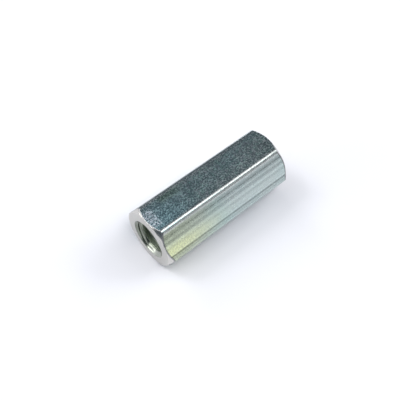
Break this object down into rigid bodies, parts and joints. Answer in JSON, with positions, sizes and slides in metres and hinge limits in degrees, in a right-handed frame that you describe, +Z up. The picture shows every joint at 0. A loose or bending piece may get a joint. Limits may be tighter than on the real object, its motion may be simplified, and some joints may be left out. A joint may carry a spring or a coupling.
{
  "type": "hex standoff",
  "caption": "Hexagon steel standoff with turned, chamfered ends and a threaded hole right through, for a screw at each end.",
  "frame": {"origin": "middle of the bore, half way along the piece", "axes": "+X along the bore, +Z up, square to the flat that the piece lies on, +Y across two corners of the hexagon"},
  "size_m": [0.02, 0.009, 0.008],
  "materials": {
    "zinc_plated_steel": "satin"
  },
  "bodies": {
    "root": {"standoff": "zinc_plated_steel"}
  },
  "joints": []
}
